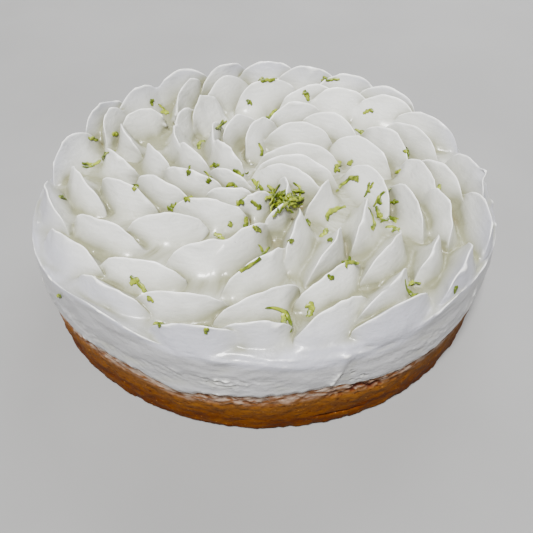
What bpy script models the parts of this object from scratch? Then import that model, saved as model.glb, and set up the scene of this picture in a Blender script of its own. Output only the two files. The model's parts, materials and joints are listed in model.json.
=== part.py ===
"""Lemon meringue tart, 22 cm across: a browned pastry case, uncut and so solid, under a
meringue of thin petals piped round and round from the rim inwards, with shreds of lime zest.

Metres, +Z up, the front at -Y. The origin is the middle of the flat base.
"""

import math
import random

import bmesh
import bpy
from mathutils import Matrix, Vector, noise
from mathutils.bvhtree import BVHTree

# The pastry case
CASE_BASE_RADIUS = 0.1045
CASE_TOP_RADIUS = 0.1072
CASE_HEIGHT = 0.0262
CASE_CHAMFER = 0.0014
EDGE_INSET = 0.0008
LID_RADIUS = 0.0972

# Its rough wall: how deep, how close, and how much closer one above the other than along it
CRAG_DEPTH = 0.0010
CRAG_SCALE = 160
CRAG_LAYERS = 2.2
FOOT_CRAGS = 0.6

# The band of meringue, spread smooth round the side with a spatula. Its wall ends in a ridge,
# and from there a ledge tucks in and climbs to the floor that the petals stand on. RIDGE_FILL
# is how far the ledge follows a ridge that is higher than the floor.
GAP = 0.0003
BAND_RADIUS = 0.1088
FLOOR_HEIGHT = 0.0500
RIDGE_HEIGHT = 0.0480
LEDGE_RADIUS = 0.1045
FLOOR_RADIUS = 0.0980
LEDGE_TUCK = 1.4
LEDGE_CLIMB = 0.8
RIDGE_FILL = 0.5
LOWER_LIP = 0.0004
SMEAR_DEPTH = 0.0008
STROKES_ROUND = 3
STROKES_UP = 190

# Round both walls
WALL_STEPS = 90

# A piped petal: a fin with a thin crest, broad at its root and steeper outside than inside.
# A petal shorter than FULL_CHORD has a narrower root, down to LEAST_ROOT of the full one, and
# LEAN is how far a crest may lean, as a share of its rise.
RISE = 0.0160
INNER_ROOT = 0.0086
OUTER_ROOT = 0.0062
ROOT_DEPTH = 0.0065
ROOT_FULLNESS = 0.5
ROOT_SINK = 0.0006
CREST_HALF = 0.0006
FULL_CHORD = 0.037
LEAST_ROOT = 0.35
FLARE = 1.35
ARCH_POWER = 0.54
BOW = 0.0036
BELLY = -0.0006
LEAN = 0.12
PETAL_SIDES = 8
PETAL_STEPS = 7
UNEVENNESS = 0.05

# Where the petals rise higher, and where those at the rim alone are lower: bearing and
# half-width in degrees, and the amount in metres. RIM_ONLY is how fast a drop fades inwards.
RISES = ((108, 50, 0.0028),)
RIM_DROPS = ((-135, 38, -0.0060), (-68, 34, -0.0052))
RIM_ONLY = 5

# A shred of lime zest. It tapers by a share of its width, is sunk by a share of its
# thickness, and lies no steeper to the line of sight than STEEPEST of its length.
SHRED_WIDTH = 0.0013
SHRED_THICKNESS = 0.0009
SHRED_TAPER = 0.4
SHRED_SHOWN = 0.7
SHRED_STEPS = 3
STEEPEST = 0.5
SLACK = 0.15

# Smaller than any feature
TINY = 1e-4

# Where the wall is out of round, and where the pastry's upper edge and the meringue's ridge
# run high or low: bearing in degrees, half-width in degrees, and the amount in metres.
BULGES = ((-160, 28, 0.0026), (-8, 22, 0.0018), (75, 40, -0.0008))
EDGE_WAVES = (
    (-124, 13, 0.0020),
    (-109, 7, -0.0034),
    (-77, 9, 0.0030),
    (-55, 12, -0.0010),
    (10, 16, 0.0018),
    (48, 14, -0.0016),
    (95, 18, 0.0014),
    (150, 15, -0.0018),
)
RIDGE_WAVES = (
    (-128, 13, 0.0075),
    (-80, 12, -0.0040),
    (-63, 7, -0.0045),
    (-44, 9, 0.0040),
    (-8, 14, -0.0030),
    (30, 12, 0.0035),
    (70, 18, -0.0030),
    (118, 15, 0.0030),
    (165, 14, -0.0030),
)

# Each row of petals: the petals' chord in metres, then for each petal the bearing of its
# crest in degrees, its reach from the middle in millimetres, and how far it is turned from
# facing straight outwards, in degrees. The rows run from the rim inwards.
ROWS = (
    (
        0.041,
        ((-60, 103, 3), (-38, 104, 11)),
        ((-18, 101, 24), (1, 100, 13), (29, 99, 24), (47, 100, 13), (62, 99, 20)),
        ((76, 103, 8), (89, 103, 2), (104, 102, 26), (118, 103, 0), (135, 101, 5)),
        ((148, 103, 4), (167, 101, -12), (191, 101, 12), (212, 100, 16), (231, 101, 4)),
    ),
    (
        0.040,
        ((-112, 91, 17), (-91, 85, 29), (-58, 93, 19), (-19, 85, 27)),
        ((-1, 85, 30), (24, 84, 19), (43, 91, 22), (60, 83, 24), (71, 80, 26)),
        ((90, 83, 20), (106, 86, 30), (120, 91, 36), (185, 88, 29), (210, 83, 32)),
        ((232, 85, 24), (-69, 79, 20), (-47, 77, 14), (-2, 76, 20), (25, 70, 9)),
    ),
    (
        0.0385,
        ((-105, 103, 8), (-73, 97, 18)),
        ((-112, 62, 29), (-91, 66, 42), (-63, 61, 38), (-38, 57, 24), (-18, 71, 36)),
        ((53, 58, 8), (76, 59, 40), (25, 55, 26), (193, 68, 43), (221, 58, 50)),
        ((66, 42, 24), (227, 38, 34), (195, 51, 41), (186, 36, 58), (-99, 52, 55)),
        ((-7, 51, 35), (-71, 46, 58)),
    ),
    (
        0.030,
        ((-92, 98, 5), (-39, 91, 12)),
        ((149, 96, 16), (143, 84, -20), (155, 79, 52), (172, 74, 56), (119, 71, 32)),
        ((133, 66, 20), (166, 57, 50), (146, 55, 40), (159, 41, 62), (128, 44, 45)),
        ((109, 45, 27), (95, 38, 45), (143, 27, 75), (233, 26, 30), (193, 18, 44)),
        ((-31, 31, 5),),
    ),
    (0.044, ((48, 25, 41), (22, 16, 58), (-11, 14, 66)),),
    (0.020, ((-102, 21, 32), (-78, 34, 37), (-48, 17, 60)),),
)

# The eye point that the shreds' places were sighted from, and the sighting frame's own units
EYE_DISTANCE = 0.3757
EYE_ELEVATION = math.radians(41.85)
EYE_FOCUS = 700
EYE_MIDDLE = (265.3, 265.6)

# Both ends of each shred in the sighting frame, across and down, and its bend as a share of
# its length
SHREDS = (
    ((130, 276), (147, 295), 0.08),
    ((147, 296), (154, 302), 0.0),
    ((154, 323), (166, 327), 0.1),
    ((206, 325), (206, 334), 0.0),
    ((57, 296), (64, 295), 0.0),
    ((168, 210), (179, 204), 0.1),
    ((184, 200), (193, 197), 0.0),
    ((214, 233), (225, 240), 0.0),
    ((230, 221), (230, 227), 0.0),
    ((247, 217), (236, 234), 0.2),
    ((252, 227), (261, 232), 0.1),
    ((270, 247), (235, 274), 0.06),
    ((265, 308), (291, 332), 0.3),
    ((341, 262), (359, 263), 0.0),
    ((327, 275), (333, 279), 0.0),
    ((311, 301), (308, 317), 0.1),
    ((405, 279), (429, 294), -0.35),
    ((455, 286), (455, 293), 0.0),
    ((328, 239), (337, 243), 0.0),
    ((320, 237), (328, 230), 0.0),
    ((306, 219), (309, 225), 0.0),
    ((287, 242), (294, 240), 0.0),
    ((325, 217), (346, 207), 0.1),
    ((151, 99), (152, 106), 0.0),
    ((158, 104), (166, 115), 0.1),
    ((88, 138), (98, 140), 0.0),
    ((112, 135), (118, 133), 0.0),
    ((82, 167), (116, 151), -0.15),
    ((58, 197), (66, 199), 0.0),
    ((130, 186), (143, 191), 0.2),
    ((190, 165), (188, 176), 0.0),
    ((210, 166), (220, 165), 0.0),
    ((197, 148), (207, 142), 0.3),
    ((210, 133), (227, 121), 0.0),
    ((258, 143), (262, 156), 0.1),
    ((246, 100), (252, 105), 0.1),
    ((258, 81), (277, 79), 0.0),
    ((276, 109), (268, 120), 0.0),
    ((234, 172), (249, 172), -0.2),
    ((251, 178), (264, 192), 0.0),
    ((204, 171), (212, 184), 0.1),
    ((226, 187), (238, 188), 0.3),
    ((237, 207), (246, 197), 0.1),
    ((251, 200), (261, 209), 0.0),
    ((321, 80), (340, 79), 0.0),
    ((304, 90), (309, 101), 0.0),
    ((363, 114), (373, 110), 0.1),
    ((355, 129), (363, 134), 0.0),
    ((405, 147), (407, 159), 0.2),
    ((397, 174), (401, 169), 0.0),
    ((438, 191), (440, 184), 0.0),
    ((335, 173), (341, 161), 0.1),
    ((349, 165), (353, 160), 0.0),
    ((336, 192), (359, 176), 0.1),
    ((364, 197), (374, 182), 0.0),
    ((368, 207), (373, 231), 0.1),
    ((374, 207), (391, 188), 0.1),
    ((376, 206), (383, 222), 0.0),
    ((388, 203), (399, 201), 0.0),
    ((380, 223), (399, 219), 0.1),
    ((385, 228), (399, 231), 0.2),
)

# The heap of shreds on the middle of the rosette: its place in the sighting frame, and size
HEAP_MIDDLE = (288, 198)
HEAP_SPREAD = (20, 14)
HEAP_COUNT = 15
HEAP_LENGTHS = (8, 15)
HEAP_LIFT = 0.0012
HEAP_SEED = 14


def wave(bearing, humps):
    """The sum of the humps at a bearing in radians."""
    total = 0.0
    for middle, width, amount in humps:
        apart = (math.degrees(bearing) - middle + 180) % 360 - 180
        total += amount * math.exp(-((apart / width) ** 2))
    return total


def edge_height(bearing):
    return CASE_HEIGHT + wave(bearing, EDGE_WAVES)


def ridge_height(bearing):
    return RIDGE_HEIGHT + wave(bearing, RIDGE_WAVES)


def polar(radius, bearing, height):
    return Vector((radius * math.cos(bearing), radius * math.sin(bearing), height))


def material(name, colour, roughness):
    made = bpy.data.materials.new(name)
    made.use_nodes = True
    shader = made.node_tree.nodes["Principled BSDF"]
    shader.inputs["Base Color"].default_value = (*colour, 1.0)
    shader.inputs["Roughness"].default_value = roughness
    return made


def finished(name, bm, finish, collection):
    """Makes an object of the bmesh, its faces turned outwards."""
    bmesh.ops.recalc_face_normals(bm, faces=bm.faces)
    mesh = bpy.data.meshes.new(name)
    bm.to_mesh(mesh)
    bm.free()
    mesh.materials.append(finish)
    obj = bpy.data.objects.new(name, mesh)
    collection.objects.link(obj)
    return obj


def drum(rings):
    """A solid round block: a circle extruded from ring to ring, then closed at both ends.
    Each ring is a function of the bearing that gives a point at that bearing. Short diagonals
    make the facets of two blocks parallel where their rings are."""
    bm = bmesh.new()
    bmesh.ops.create_circle(bm, segments=WALL_STEPS, radius=CASE_BASE_RADIUS)
    verts, edges = bm.verts[:], bm.edges[:]
    for number, ring in enumerate(rings):
        if number:
            grown = bmesh.ops.extrude_edge_only(bm, edges=edges)["geom"]
            verts = [item for item in grown if isinstance(item, bmesh.types.BMVert)]
            edges = [edge for edge in bm.edges if set(edge.verts) <= set(verts)]
        for vert in verts:
            vert.co = ring(math.atan2(vert.co.y, vert.co.x))
    bmesh.ops.holes_fill(bm, edges=bm.edges, sides=WALL_STEPS)
    bmesh.ops.triangulate(bm, faces=bm.faces, quad_method="SHORT_EDGE")
    return bm


def crag(bearing, height):
    """How far the baked wall stands out or in, rough along it and in thin level layers."""
    place = polar(CASE_BASE_RADIUS, bearing, height * CRAG_LAYERS) * CRAG_SCALE
    return CRAG_DEPTH * (noise.noise(place) + 0.5 * noise.noise(place * 2.3))


def case_ring(share, inset=0.0, crags=1.0):
    """A ring up the wall of the pastry case, share going from 0 at its foot to 1 at its edge."""

    def point(bearing):
        height = share * edge_height(bearing)
        radius = CASE_BASE_RADIUS + share * (CASE_TOP_RADIUS - CASE_BASE_RADIUS) - inset
        radius += wave(bearing, BULGES) + crags * crag(bearing, height)
        return polar(radius, bearing, height)

    return point


def make_case(collection):
    chamfer = CASE_CHAMFER / CASE_HEIGHT
    rings = [case_ring(0.0, CASE_CHAMFER, FOOT_CRAGS)]
    rings += [case_ring(share) for share in (chamfer, 0.25, 0.45, 0.65, 0.85)]
    rings += [case_ring(1.0, EDGE_INSET), lid_ring(0.0)]
    finish = material("browned pastry", (0.42, 0.17, 0.035), 0.75)
    return finished("pastry_case", drum(rings), finish, collection)


def lid_ring(lift):
    """The flat middle where the pastry case and the meringue meet."""
    return lambda bearing: polar(LID_RADIUS, bearing, CASE_HEIGHT + lift)


def smear(bearing, height):
    """How far the spread band stands out or in: long low strokes with a slight slope."""
    place = polar(STROKES_ROUND, bearing, height * STROKES_UP)
    return SMEAR_DEPTH * (noise.noise(place) + 0.5 * noise.noise(place * 2.1))


def band_ring(share, inset=0.0):
    """A ring up the wall of the meringue, share going from 0 at the pastry to 1 at its ridge."""

    def point(bearing):
        low = edge_height(bearing) + GAP
        height = low + share * (ridge_height(bearing) - low)
        radius = BAND_RADIUS + wave(bearing, BULGES) + smear(bearing, height) - inset
        return polar(radius, bearing, height)

    return point


def ledge_ring(share):
    """A ring on the ledge, share going from 0 on the ridge to 1 where the petals stand."""

    def point(bearing):
        ridge = ridge_height(bearing)
        top = FLOOR_HEIGHT + RIDGE_FILL * max(0.0, ridge - FLOOR_HEIGHT)
        radius = BAND_RADIUS + (LEDGE_RADIUS - BAND_RADIUS) * share**LEDGE_TUCK
        height = ridge + (top - ridge) * share**LEDGE_CLIMB
        return polar(radius + wave(bearing, BULGES), bearing, height)

    return point


def floor_ring(bearing):
    return polar(FLOOR_RADIUS, bearing, FLOOR_HEIGHT)


def under_ring(bearing):
    """The underside of the meringue over the pastry's edge, parallel to it."""
    return case_ring(1.0, EDGE_INSET)(bearing) + Vector((0, 0, GAP))


def make_band(collection, finish):
    rings = [lid_ring(GAP), under_ring, band_ring(0.0, LOWER_LIP), band_ring(0.12)]
    rings += [band_ring(share) for share in (0.4, 0.7, 1.0)]
    rings += [ledge_ring(0.4), ledge_ring(1.0), floor_ring]
    return finished("meringue", drum(rings), finish, collection)


def petal(row, number, chord, crest, collection, finish):
    """One piped petal, pressed from a ball whose poles are the ends of its crest."""
    degrees, millimetres, turn = crest
    bearing, reach = math.radians(degrees), millimetres / 1000
    draw = random.Random(number)
    rise = RISE * draw.uniform(1 - UNEVENNESS, 1 + UNEVENNESS)
    outwards = reach / CASE_TOP_RADIUS
    rise += wave(bearing, RISES) * outwards + wave(bearing, RIM_DROPS) * outwards**RIM_ONLY
    lean = LEAN * RISE * draw.uniform(-1, 1)
    size = min(1.0, LEAST_ROOT + (1 - LEAST_ROOT) * chord / FULL_CHORD)
    bm = bmesh.new()
    bmesh.ops.create_uvsphere(bm, u_segments=PETAL_SIDES, v_segments=PETAL_STEPS, radius=1)
    place = Matrix.Translation(polar(reach, bearing, FLOOR_HEIGHT))
    place = place @ Matrix.Rotation(math.radians(degrees + turn - 90), 4, "Z")
    for vert in bm.verts:
        along = vert.co.z
        girth = max(math.hypot(vert.co.x, vert.co.y), TINY)
        side, up = vert.co.x / girth, vert.co.y / girth
        arch = max(0.0, 1 - along * along) ** ARCH_POWER
        root = size * (OUTER_ROOT if side > 0 else INNER_ROOT)
        if up > 0:
            half = CREST_HALF * (1 - up**6) ** 0.5 + (root - CREST_HALF) * (1 - up) ** FLARE
            out = math.copysign(half, side) * arch + lean * up * arch
            height = rise * arch * up
        else:
            out = root * math.copysign(abs(side) ** ROOT_FULLNESS, side) * arch
            height = ROOT_DEPTH * up * arch
        point = place @ Vector((chord / 2 * along, out - BOW * along**2, height - ROOT_SINK))
        vert.co = inside_rim(point)
    bmesh.ops.remove_doubles(bm, verts=bm.verts, dist=TINY / 10)
    return finished(f"petal_{row}_{number}", bm, finish, collection)


def inside_rim(point):
    """Draws in what would stand out past the band, but for a slight belly."""
    bearing = math.atan2(point.y, point.x)
    limit = BAND_RADIUS + BELLY + wave(bearing, BULGES)
    radius = math.hypot(point.x, point.y)
    return point if radius < limit else polar(limit, bearing, point.z)


def sight(across, down):
    """The direction of sight from the eye point through a place in the sighting frame."""
    right = Vector((1, 0, 0))
    up = Vector((0, math.sin(EYE_ELEVATION), math.cos(EYE_ELEVATION)))
    ahead = Vector((0, math.cos(EYE_ELEVATION), -math.sin(EYE_ELEVATION)))
    sideways = (across - EYE_MIDDLE[0]) / EYE_FOCUS
    upwards = (EYE_MIDDLE[1] - down) / EYE_FOCUS
    return (ahead + sideways * right + upwards * up).normalized()


def laid(start, end, bend, surface, steps):
    """The line that a shred takes: sighted on to the surface point by point, and no steeper
    to the line of sight than a stiff shred can lie. Gives the line and the surface's normal."""
    eye = EYE_DISTANCE * Vector((0, -math.cos(EYE_ELEVATION), math.sin(EYE_ELEVATION)))
    run = (end[0] - start[0], end[1] - start[1])
    rays = []
    for step in range(steps + 1):
        share = step / steps
        bow = 4 * bend * share * (1 - share)
        place = (start[0] + share * run[0] + bow * run[1], start[1] + share * run[1] - bow * run[0])
        rays.append(sight(*place))
    _, normal, _, far = surface.ray_cast(eye, rays[steps // 2])
    span = far * math.hypot(*run) / EYE_FOCUS
    line = []
    for step, ray in enumerate(rays):
        slack = span * (SLACK + STEEPEST * abs(step / steps - 0.5))
        met = surface.ray_cast(eye, ray)[3] or far
        line.append(eye + ray * min(max(met, far - slack), far + slack))
    return line, normal if normal.dot(rays[0]) < 0 else -normal


def shred(number, start, end, bend, lift, surface, collection, finish):
    """One shred of zest, a bar bent along its line and half sunk in what it lies on."""
    line, normal = laid(start, end, bend, surface, SHRED_STEPS)
    bm = bmesh.new()
    bmesh.ops.create_cube(bm, size=1)
    long_edges = [edge for edge in bm.edges if edge.verts[0].co.x * edge.verts[1].co.x < 0]
    long_edges = [edge for edge in long_edges if abs(edge.calc_length() - 1) < TINY]
    bmesh.ops.subdivide_edges(bm, edges=long_edges, cuts=SHRED_STEPS - 1)
    along = (line[-1] - line[0]).normalized()
    across = normal.cross(along).normalized()
    for vert in bm.verts:
        share = vert.co.x + 0.5
        spine = line[round(share * SHRED_STEPS)]
        width = SHRED_WIDTH * (1 - SHRED_TAPER * (2 * share - 1) ** 2)
        height = lift + SHRED_THICKNESS * (vert.co.z + SHRED_SHOWN - 0.5)
        vert.co = spine + across * width * vert.co.y + normal * height
    return finished(f"shred_{number}", bm, finish, collection)


def heap():
    """The heap's shreds, crossing one another at all angles about its middle."""
    draw = random.Random(HEAP_SEED)
    for _ in range(HEAP_COUNT):
        angle = draw.uniform(0, math.pi)
        half = draw.uniform(*HEAP_LENGTHS) / 2
        across = HEAP_MIDDLE[0] + draw.gauss(0, 0.5) * HEAP_SPREAD[0]
        down = HEAP_MIDDLE[1] + draw.gauss(0, 0.5) * HEAP_SPREAD[1]
        tip = (half * math.cos(angle), half * math.sin(angle))
        ends = (across - tip[0], down - tip[1]), (across + tip[0], down + tip[1])
        yield *ends, 0.1, draw.uniform(0, HEAP_LIFT)


def surface_of(objects):
    """One searchable surface of several objects."""
    points = []
    faces = []
    for obj in objects:
        first = len(points)
        points += [vert.co.copy() for vert in obj.data.vertices]
        faces += [[first + index for index in face.vertices] for face in obj.data.polygons]
    return BVHTree.FromPolygons(points, faces)


def largest_body(mesh):
    """Drops loose scraps and the walls of sealed hollows that the union leaves."""
    bm = bmesh.new()
    bm.from_mesh(mesh)
    unseen = set(bm.verts)
    bodies = []
    while unseen:
        body = [unseen.pop()]
        for vert in body:
            for edge in vert.link_edges:
                other = edge.other_vert(vert)
                if other in unseen:
                    unseen.remove(other)
                    body.append(other)
        bodies.append(body)
    bodies.sort(key=len)
    bmesh.ops.delete(bm, geom=[vert for body in bodies[:-1] for vert in body], context="VERTS")
    bm.to_mesh(mesh)
    bm.free()


def fuse(body, pieces):
    """Joins all the pieces of a collection to the body, and removes them."""
    union = body.modifiers.new("fuse", "BOOLEAN")
    union.operation = "UNION"
    union.solver = "MANIFOLD"
    union.operand_type = "COLLECTION"
    union.collection = pieces
    bpy.context.view_layer.update()
    fused = bpy.data.meshes.new_from_object(
        body.evaluated_get(bpy.context.evaluated_depsgraph_get())
    )
    body.modifiers.remove(union)
    body.data = fused
    for piece in list(pieces.objects):
        bpy.data.objects.remove(piece)
    bpy.data.collections.remove(pieces)
    largest_body(fused)


def make_meringue(collection):
    finish = material("meringue", (0.86, 0.86, 0.82), 0.45)
    body = make_band(collection, finish)
    pieces = bpy.data.collections.new("piping")
    bpy.context.scene.collection.children.link(pieces)
    number = 0
    for row, (chord, *groups) in enumerate(ROWS):
        for crest in (crest for group in groups for crest in group):
            petal(row, number, chord, crest, pieces, finish)
            number += 1
    surface = surface_of([body, *pieces.objects])
    for count, (start, end, bend, *lift) in enumerate([*SHREDS, *heap()]):
        shred(count, start, end, bend, sum(lift), surface, pieces, finish)
    fuse(body, pieces)
    return body


def main():
    for obj in list(bpy.data.objects):
        bpy.data.objects.remove(obj)
    collection = bpy.context.scene.collection
    make_case(collection)
    make_meringue(collection)


main()
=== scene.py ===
# %% [markdown]
# # A lemon meringue tart
#
# This lesson dresses an uncut lemon meringue tart, 22 cm across. A browned pastry case
# carries a band of meringue that was spread smooth round the side, and on that stands a
# rosette of thin piped petals with shreds of lime zest. The solids come in as a fixed frame
# that says where everything is. The looks are made here, in bmesh and shader nodes.

# %% Load the frame
import json
import math
import random

import bmesh
import bpy
from mathutils import Matrix, Vector, noise
from mathutils.bvhtree import BVHTree

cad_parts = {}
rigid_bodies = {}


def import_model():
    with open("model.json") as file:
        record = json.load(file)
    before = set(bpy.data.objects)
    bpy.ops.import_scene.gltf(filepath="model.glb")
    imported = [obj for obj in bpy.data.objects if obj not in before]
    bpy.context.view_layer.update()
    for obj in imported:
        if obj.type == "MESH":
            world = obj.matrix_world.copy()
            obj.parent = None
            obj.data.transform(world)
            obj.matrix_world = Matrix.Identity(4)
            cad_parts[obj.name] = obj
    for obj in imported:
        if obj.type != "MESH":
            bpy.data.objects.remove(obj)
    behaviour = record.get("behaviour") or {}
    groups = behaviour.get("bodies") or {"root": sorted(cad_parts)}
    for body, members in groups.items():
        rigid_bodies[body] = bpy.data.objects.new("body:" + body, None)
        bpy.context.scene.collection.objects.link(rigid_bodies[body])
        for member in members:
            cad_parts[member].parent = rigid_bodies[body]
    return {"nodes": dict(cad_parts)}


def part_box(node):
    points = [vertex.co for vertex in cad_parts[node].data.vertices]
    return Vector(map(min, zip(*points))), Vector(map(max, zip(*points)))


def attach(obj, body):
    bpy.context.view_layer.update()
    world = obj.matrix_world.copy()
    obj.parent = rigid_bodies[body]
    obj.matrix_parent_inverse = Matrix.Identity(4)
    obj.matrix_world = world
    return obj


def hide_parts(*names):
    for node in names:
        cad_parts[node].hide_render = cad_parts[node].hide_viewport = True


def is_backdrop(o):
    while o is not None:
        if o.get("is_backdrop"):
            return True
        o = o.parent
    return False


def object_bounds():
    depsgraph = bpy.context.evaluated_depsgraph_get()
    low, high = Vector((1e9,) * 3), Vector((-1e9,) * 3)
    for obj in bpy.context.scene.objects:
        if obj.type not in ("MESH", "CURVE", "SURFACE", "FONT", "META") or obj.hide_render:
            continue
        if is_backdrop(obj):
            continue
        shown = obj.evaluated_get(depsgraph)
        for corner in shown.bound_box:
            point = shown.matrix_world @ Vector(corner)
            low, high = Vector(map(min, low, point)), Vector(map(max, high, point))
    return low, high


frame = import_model()
cad_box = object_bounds()
case_low, case_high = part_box("pastry_case")


def in_mm(sides, digits=1):
    return [round(1000 * side, digits) for side in sides]


print(len(frame["nodes"]), "solids that measure", in_mm(cad_box[1] - cad_box[0]), "mm")
print("the pastry case alone goes from", in_mm(case_low), "to", in_mm(case_high), "mm")

# %% [markdown]
# The camera comes first, because a later step needs it: the zest is laid out as it sees it.
# It looks down on the tart from 42 degrees, near enough for the front to look clearly larger
# than the back. A small lens shift places the tart in the frame without turning the camera.

# %% The camera
EYE_DISTANCE = 0.3757
EYE_ELEVATION = math.radians(41.85)
EYE_FOCUS = 700
EYE_MIDDLE = (265.3, 265.6)
FRAME_WIDTH = 533
SENSOR = 36.0

eye = EYE_DISTANCE * Vector((0, -math.cos(EYE_ELEVATION), math.sin(EYE_ELEVATION)))
camera_data = bpy.data.cameras.new("camera")
camera_data.sensor_width = SENSOR
camera_data.lens = SENSOR * EYE_FOCUS / FRAME_WIDTH
camera_data.shift_x = (FRAME_WIDTH / 2 - EYE_MIDDLE[0]) / FRAME_WIDTH
camera_data.shift_y = (EYE_MIDDLE[1] - FRAME_WIDTH / 2) / FRAME_WIDTH
camera = bpy.data.objects.new("camera", camera_data)
camera.location = eye
camera.rotation_euler = (math.pi / 2 - EYE_ELEVATION, 0, 0)
bpy.context.scene.collection.objects.link(camera)
bpy.context.scene.camera = camera
print("lens", round(camera_data.lens, 2), "mm, eye at", in_mm(eye), "mm")

# %% [markdown]
# A tart is round but never true, so its walls are described as a radius and a height at each
# bearing, and broad humps are added to both. Writing them as a few named humps keeps the
# unevenness under control: each can be seen, moved or taken out.

# %% Sizes of the two walls, in metres
CASE_BASE_RADIUS = 0.1045
CASE_TOP_RADIUS = 0.1072
CASE_HEIGHT = 0.0262
BAND_RADIUS = 0.1088
RIDGE_HEIGHT = 0.0480
LEDGE_RADIUS = 0.1045
FLOOR_HEIGHT = 0.0500

# Each hump's bearing in degrees, half-width in degrees and amount in metres
BULGES = ((-160, 28, 0.0026), (-8, 22, 0.0018), (75, 40, -0.0008))
EDGE_WAVES = (
    (-124, 13, 0.0020),
    (-109, 7, -0.0034),
    (-77, 9, 0.0030),
    (-55, 12, -0.0010),
    (10, 16, 0.0018),
    (48, 14, -0.0016),
    (95, 18, 0.0014),
    (150, 15, -0.0018),
)
RIDGE_WAVES = (
    (-128, 13, 0.0075),
    (-80, 12, -0.0040),
    (-63, 7, -0.0045),
    (-44, 9, 0.0040),
    (-8, 14, -0.0030),
    (30, 12, 0.0035),
    (70, 18, -0.0030),
    (118, 15, 0.0030),
    (165, 14, -0.0030),
)


def degrees_past(middle, bearing):
    """How far a bearing in radians is past a middle in degrees, half a turn at most."""
    return (math.degrees(bearing) - middle + 180) % 360 - 180


def wave(bearing, humps):
    """The sum of the humps at a bearing in radians."""
    total = 0.0
    for middle, width, amount in humps:
        total += amount * math.exp(-((degrees_past(middle, bearing) / width) ** 2))
    return total


def edge_height(bearing):
    return CASE_HEIGHT + wave(bearing, EDGE_WAVES)


def ridge_height(bearing):
    return RIDGE_HEIGHT + wave(bearing, RIDGE_WAVES)


def polar(radius, bearing, height):
    return Vector((radius * math.cos(bearing), radius * math.sin(bearing), height))


print("at the right the edge and the ridge are", in_mm((edge_height(0), ridge_height(0))), "mm high")

# %% [markdown]
# Both walls are made the same way: a flat grid is bent round into a drum, its rows becoming
# rings, and its two ends are closed. A grid gives even quads all round, which take fine
# relief without pinching. A cylinder with a displacement texture would be quicker, but here
# each ring can follow the wavy edge of the pastry.

# %% Bending a grid into a drum
WALL_STEPS = 760
SEAM = 0.000002


def drum(rings):
    """A closed drum whose rings, from one end to the other, each give a point at a bearing."""
    bm = bmesh.new()
    last = len(rings) - 1
    bmesh.ops.create_grid(bm, x_segments=WALL_STEPS, y_segments=last, size=1)
    for vert in bm.verts:
        ring = rings[round((vert.co.y + 1) / 2 * last)]
        vert.co = ring(math.pi * vert.co.x)
    bmesh.ops.remove_doubles(bm, verts=bm.verts, dist=SEAM)
    bmesh.ops.holes_fill(bm, edges=bm.edges, sides=WALL_STEPS)
    return bm


def face_outwards(bm):
    """Makes the faces agree, then turns them all if the volume shows that they point inwards."""
    bmesh.ops.recalc_face_normals(bm, faces=bm.faces)
    if bm.calc_volume(signed=True) < 0:
        bmesh.ops.reverse_faces(bm, faces=bm.faces)


def piece_from(name, bm, collection=bpy.context.scene.collection):
    """An object of the bmesh, smooth and with its faces outwards."""
    face_outwards(bm)
    mesh = bpy.data.meshes.new(name)
    bm.to_mesh(mesh)
    bm.free()
    mesh.shade_smooth()
    piece = bpy.data.objects.new(name, mesh)
    collection.objects.link(piece)
    return piece


print("a drum has", WALL_STEPS, "points to a ring,", round(360 / WALL_STEPS, 2), "degrees apart")

# %% [markdown]
# The pastry case was pressed into a ring, so its wall is nearly upright, with a rough skin in
# thin level layers. That skin is relief in the mesh, because it shows in the outline. A
# displacement texture could give it too, but a rule in bearing and height can also tell the
# brittle zone under the edge from the rest. Only the finest grain is left to the material.

# %% The baked skin
CRAG_DEPTH = 0.0006
CRAG_SCALE = 150
CRAG_LAYERS = 1.1
GRAIN_DEPTH = 0.00018
GRAIN_SCALE = 700
GRAIN_SHARE = 0.7
GRAIN_FINER = 2.1
FLAKE_DEPTH = 0.0003
FLAKES_ROUND = 210
FLAKES_UP = 760
FLAKE_GAPS = 0.18
FLAKE_STEEPNESS = 0.7
FLAKES_LOW_DOWN = 0.15
BRITTLE_ZONE = (0.62, 0.9)


def ease(low, high, value):
    """0 below low, 1 above high, and a smooth turn between them."""
    share = min(1.0, max(0.0, (value - low) / (high - low)))
    return share * share * (3 - 2 * share)


def rough(place, share=0.5, finer=2.3):
    """Noise in two sizes, the finer one with a share of the strength of the other."""
    return noise.noise(place) + share * noise.noise(place * finer)


def crag(bearing, height):
    """How far the baked wall stands out or in, rough along it and in thin level layers."""
    place = polar(CASE_BASE_RADIUS, bearing, height * CRAG_LAYERS) * CRAG_SCALE
    return CRAG_DEPTH * rough(place)


def grain(bearing, height):
    place = polar(CASE_BASE_RADIUS, bearing, height) * GRAIN_SCALE
    return GRAIN_DEPTH * rough(place, GRAIN_SHARE, GRAIN_FINER)


def flakes(bearing, height, share):
    """Short level cracks and scales, deepest in the brittle zone under the edge."""
    place = polar(CASE_BASE_RADIUS * FLAKES_ROUND, bearing, height * FLAKES_UP)
    crack = max(0.0, noise.noise(place) - FLAKE_GAPS) ** FLAKE_STEEPNESS
    return -FLAKE_DEPTH * crack * (FLAKES_LOW_DOWN + ease(*BRITTLE_ZONE, share))


print("the skin is", in_mm((CRAG_DEPTH, GRAIN_DEPTH, FLAKE_DEPTH), 2), "mm deep in three sizes")

# %% [markdown]
# Under the edge there are little dark pits, most of them at the front right, and low in the
# wall one long crack. Crumbs broke away along the foot, and the edge is ragged. Each has a
# rule of its own. The rules for the pits and the crack give 1 in their middle, so the same
# two can cut the mesh here and darken it in the finish.

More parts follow.
